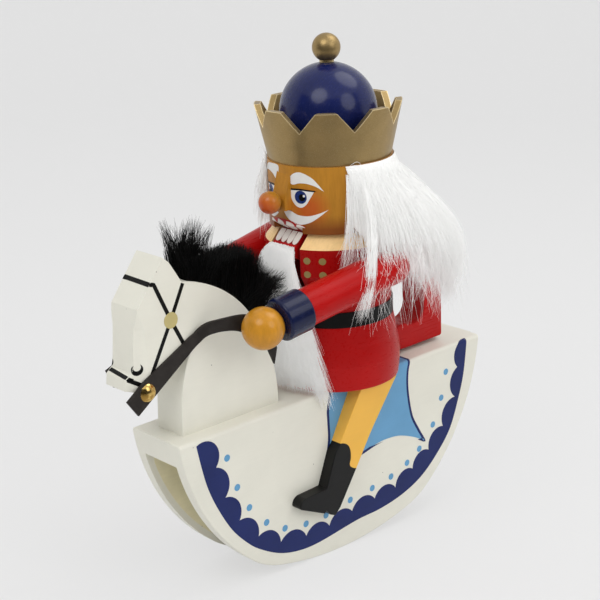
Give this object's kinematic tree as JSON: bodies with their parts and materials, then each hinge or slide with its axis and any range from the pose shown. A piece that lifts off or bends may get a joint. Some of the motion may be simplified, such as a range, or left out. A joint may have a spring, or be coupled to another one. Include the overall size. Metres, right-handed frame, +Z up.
{
  "type": "rocking horse",
  "caption": "Wooden nutcracker king riding a board-sided rocking horse, a table decoration; a lever at the rider's back drops the jaw.",
  "frame": {"origin": "on the floor, under the middle of the bounding box, with the horse at rest where it balances", "axes": "+Z up, -Y the way the horse faces, +X the horse's and rider's left"},
  "size_m": [0.132, 0.2922, 0.333],
  "materials": {
    "cream_paint": "satin paint on wood",
    "red_paint": "semi-gloss paint on wood",
    "navy_paint": "semi-gloss paint on wood",
    "black_paint": "semi-gloss paint on wood",
    "ochre_paint": "semi-gloss paint on wood",
    "gold_paint": "satin metallic paint on wood, worn at the edges",
    "yellow_varnish": "tinted clear varnish on wood",
    "orange_varnish": "tinted clear varnish on wood",
    "bare_wood": "bare beech",
    "strap_leather": "smooth dark leather, slightly worn",
    "brass": "polished",
    "steel": "zinc plated",
    "white_fur": "long soft pile",
    "black_fur": "long soft pile"
  },
  "bodies": {
    "horse_and_rider": {"left_rocker_panel": "cream_paint", "right_rocker_panel": "cream_paint", "seat_board": "cream_paint", "horse_neck_and_head": "cream_paint", "seat_dowels": "bare_wood", "neck_dowels": "bare_wood", "horse_forelock": "black_fur", "horse_mane": "black_fur", "left_rein": "strap_leather", "right_rein": "strap_leather", "left_rein_nail": "brass", "right_rein_nail": "brass", "coat_skirt": "red_paint", "coat_torso": "red_paint", "coat_belt": "black_paint", "left_sleeve": "red_paint", "right_sleeve": "red_paint", "left_cuff": "navy_paint", "right_cuff": "navy_paint", "left_hand": "yellow_varnish", "right_hand": "yellow_varnish", "left_leg": "ochre_paint", "right_leg": "ochre_paint", "rider_head": "orange_varnish", "nose_bridge": "orange_varnish", "nose_ball": "orange_varnish", "crown_ring": "gold_paint", "crown_dome": "navy_paint", "crown_finial": "gold_paint", "pivot_pin": "bare_wood", "shoulder_dowels": "bare_wood", "wrist_dowels": "bare_wood", "leg_dowels": "bare_wood", "torso_dowel": "bare_wood", "collar_dowels": "bare_wood", "crown_dowel": "bare_wood", "seat_screws": "steel", "rider_hair": "white_fur"},
    "jaw": {"jaw_lever": "red_paint", "rider_beard": "white_fur"}
  },
  "joints": [
    {"name": "jaw_hinge", "type": "hinge", "parent": "horse_and_rider", "child": "jaw", "pos_m": [0, 0.03542, 0.18985], "axis": [1, 0, 0], "range_deg": [0, 16], "deforming": ["rider_beard"]}
  ]
}
